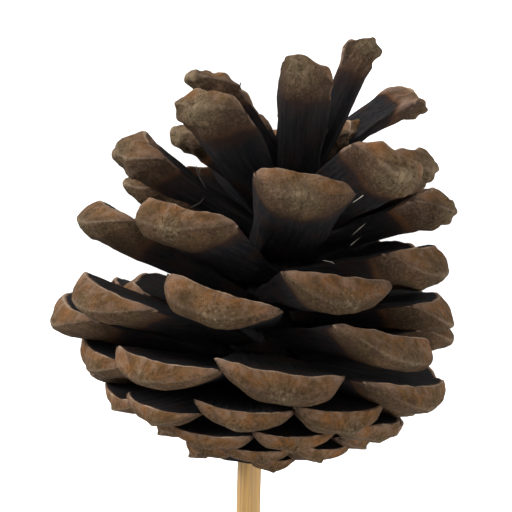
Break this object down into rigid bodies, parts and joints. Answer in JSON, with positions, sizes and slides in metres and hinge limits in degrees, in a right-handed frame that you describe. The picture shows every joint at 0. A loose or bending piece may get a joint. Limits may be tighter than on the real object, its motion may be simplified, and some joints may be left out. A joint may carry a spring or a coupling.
{
  "type": "pine cone",
  "caption": "Open pine cone of thick woody scales set in spirals round a core, on a plain round wooden stick, lying on its back.",
  "frame": {"origin": "centre of the bounding box, on the surface that the cone lies on", "axes": "+Y from the stick's end towards the cone's tip, +Z up, +X to the right seen from above with +Y up"},
  "size_m": [0.0973, 0.1595, 0.0936],
  "materials": {
    "cone": "matt, weathered",
    "stick": "plain sanded"
  },
  "bodies": {
    "root": {"cone": "cone", "stick": "stick"}
  },
  "joints": []
}
